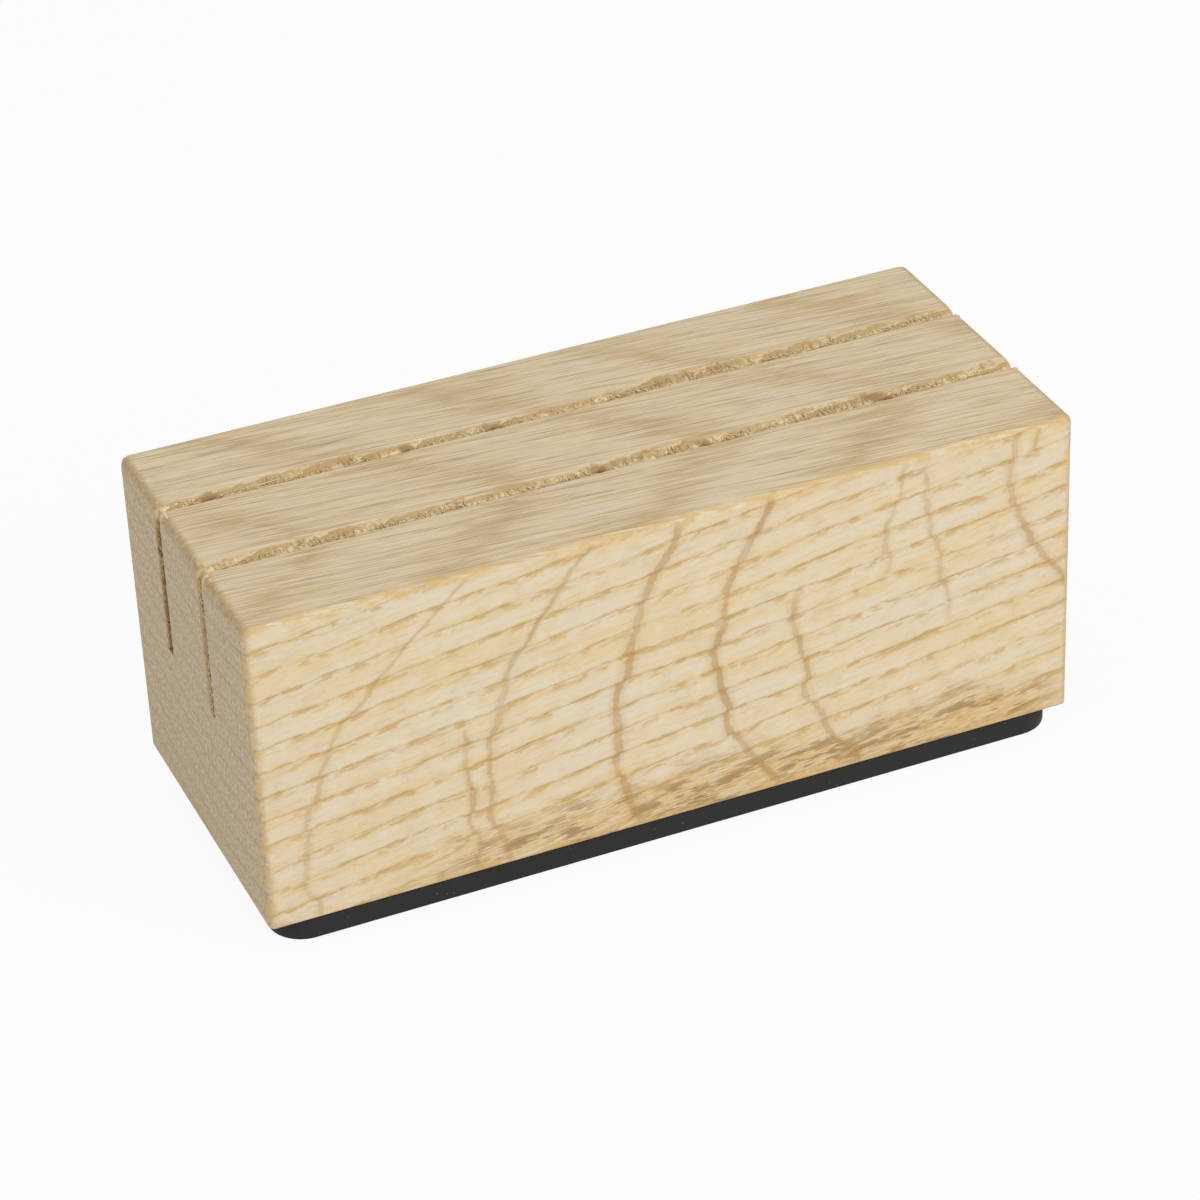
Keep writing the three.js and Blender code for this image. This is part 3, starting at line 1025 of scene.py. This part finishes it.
padLook = {
    "corner": 5.0, "rim": 0.3, "cornerSteps": 12, "rimSteps": 3,
    "black": (0.016, 0.016, 0.0165, 1), "worn": (0.030, 0.0302, 0.0305, 1), "wear": (0.5, 3),
    "speck": (0.35, 0.35, 0.34, 1), "speckScale": 1.1, "speckSize": (0.05, 0.13, 1, 0),
    "speckPatch": (1.7, 1), "speckLimits": (0.52, 0.62), "speckAmount": 0.6,
    "roughness": (0.3, 0.7, 0.62, 0.8), "specular": 0.22,
    "grain": (5.0, 3, 0.6), "grainStrength": 0.4, "grainDepth": 0.04,
}


def buildPad():
    low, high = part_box("rubber_pad")
    size = high - low
    bm = bmesh.new()
    place = Matrix.Translation((low + high) / 2) @ Matrix.Diagonal((*size, 1))
    bmesh.ops.create_cube(bm, size=1, matrix=place)
    upright = [e for e in bm.edges if abs(e.verts[0].co.z - e.verts[1].co.z) > mm]
    bmesh.ops.bevel(bm, geom=upright, offset=padLook["corner"] * mm, offset_type="OFFSET", affect="EDGES",
                    segments=padLook["cornerSteps"], profile=0.5, material=-1)
    level = 1e-6
    rims = [e for e in bm.edges if abs(e.verts[0].co.z - e.verts[1].co.z) < level
            and any(abs(f.normal.z) < 0.5 for f in e.link_faces)]
    bmesh.ops.bevel(bm, geom=rims, offset=padLook["rim"] * mm, offset_type="OFFSET", affect="EDGES",
                    segments=padLook["rimSteps"], profile=0.5, material=-1)
    bmesh.ops.recalc_face_normals(bm, faces=bm.faces)
    return bm


def rubberMaterial():
    material, tree, shader = newMaterial("blackRubber")
    place = placeInMillimetres(tree)
    wear = cloud(tree, place, *padLook["wear"])
    colour = blend(tree, wear, padLook["black"], padLook["worn"])
    specks = addNode(tree, "ShaderNodeTexVoronoi", feature="F1")
    feed(tree, specks.inputs["Vector"], place)
    specks.inputs["Scale"].default_value = padLook["speckScale"]
    speck = ease(tree, specks.outputs["Distance"], *padLook["speckSize"])
    patch = ease(tree, cloud(tree, place, *padLook["speckPatch"]), *padLook["speckLimits"])
    speck = calc(tree, "MULTIPLY", calc(tree, "MULTIPLY", speck, patch), padLook["speckAmount"])
    colour = blend(tree, speck, colour, padLook["speck"])
    feed(tree, shader.inputs["Base Color"], colour)
    feed(tree, shader.inputs["Roughness"], ease(tree, wear, *padLook["roughness"]))
    shader.inputs["Specular IOR Level"].default_value = padLook["specular"]
    grain = cloud(tree, place, *padLook["grain"])
    addRelief(tree, shader, grain, padLook["grainStrength"], padLook["grainDepth"])
    return material


newPiece("rubberPad", buildPad(), rubberMaterial(), "rubber_pad")
print("rubber pad done")


# adhesive film: the CAD node keeps its shape and gets a cloudy finish

filmLook = {
    "dull": (0.40, 0.37, 0.30, 1), "milky": (0.55, 0.52, 0.44, 1), "haze": (0.6, 3),
    "sheen": (2.0, 2), "roughness": (0.3, 0.7, 0.35, 0.55),
}


def filmMaterial():
    material, tree, shader = newMaterial("cloudyAdhesive")
    place = placeInMillimetres(tree)
    colour = blend(tree, cloud(tree, place, *filmLook["haze"]), filmLook["dull"], filmLook["milky"])
    feed(tree, shader.inputs["Base Color"], colour)
    sheen = cloud(tree, place, *filmLook["sheen"])
    feed(tree, shader.inputs["Roughness"], ease(tree, sheen, *filmLook["roughness"]))
    return material


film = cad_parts["adhesive_film"]
film.data.materials.clear()
film.data.materials.append(filmMaterial())
print("film done")


# camera at the photograph's angle

cameraView = {
    "place": (-0.18657, -0.45667, 0.33552),
    "right": (0.91574, -0.39985, -0.0392),
    "up": (0.24405, 0.4761, 0.84485),
    "back": (-0.31915, -0.78323, 0.53357),
    "lens": 125.69,
    "sensor": 36,
    "nearest": 0.01,
}


def addCamera():
    data = bpy.data.cameras.new("camera")
    data.sensor_width = cameraView["sensor"]
    data.lens = cameraView["lens"]
    data.clip_start = cameraView["nearest"]
    camera = addObject("camera", data)
    turn = Matrix((cameraView["right"], cameraView["up"], cameraView["back"])).transposed()
    camera.matrix_world = Matrix.Translation(cameraView["place"]) @ turn.to_4x4()
    scene.camera = camera


addCamera()
print("camera done")


# floor, world and lamps

studio = {
    "floor": (0.86, 0.86, 0.86, 1),
    "floorReach": 3,
    "whiteness": 0.93,
    "sky": (1, 1, 1, 1),
    "skyLight": 0.50,            # what the sky gives, though it looks white
    "aim": (0, 0, 0.025),
    # name, place, size, power
    "lamps": [
        ("keyLamp", (0.50, -1.05, 0.90), 1.1, 10.3),
        ("topLamp", (-0.1, 0.0, 1.5), 1.2, 1.0),
        ("sideLamp", (-1.3, -0.3, 0.6), 0.9, 3.0),
    ],
}


def seenDirectly(tree):
    path = addNode(tree, "ShaderNodeLightPath").outputs
    seen = calc(tree, "MAXIMUM", path["Is Camera Ray"], path["Is Glossy Ray"])
    return calc(tree, "MAXIMUM", seen, path["Is Transmission Ray"])


def floorMaterial():
    material, tree, shader = newMaterial("paleFloor")
    tree.nodes.remove(shader)
    lit = addNode(tree, "ShaderNodeBsdfDiffuse")
    lit.inputs["Color"].default_value = studio["floor"]
    white = addNode(tree, "ShaderNodeEmission")
    mixed = addNode(tree, "ShaderNodeMixShader")
    feed(tree, mixed.inputs[0], calc(tree, "MULTIPLY", seenDirectly(tree), studio["whiteness"]))
    feed(tree, mixed.inputs[1], lit.outputs[0])
    feed(tree, mixed.inputs[2], white.outputs[0])
    feed(tree, tree.nodes["Material Output"].inputs["Surface"], mixed.outputs[0])
    return material


def addFloor():
    bm = bmesh.new()
    bmesh.ops.create_grid(bm, x_segments=1, y_segments=1, size=studio["floorReach"])
    floor = addObject("floor", meshFrom("floor", bm))
    floor.data.materials.append(floorMaterial())


def addWorld():
    world = bpy.data.worlds.new("studio")
    world.use_nodes = True
    scene.world = world
    tree = world.node_tree
    background = tree.nodes["Background"]
    background.inputs["Color"].default_value = studio["sky"]
    strength = ease(tree, seenDirectly(tree), 0.0, 1.0, studio["skyLight"], 1.0)
    feed(tree, background.inputs["Strength"], strength)


def addLamps():
    for name, place, size, power in studio["lamps"]:
        data = bpy.data.lights.new(name, "AREA")
        data.shape = "DISK"
        data.size = size
        data.energy = power
        lamp = addObject(name, data)
        lamp.location = place
        lamp.rotation_euler = (Vector(studio["aim"]) - Vector(place)).to_track_quat("-Z", "Y").to_euler()


addFloor()
addWorld()
addLamps()
print("studio done")
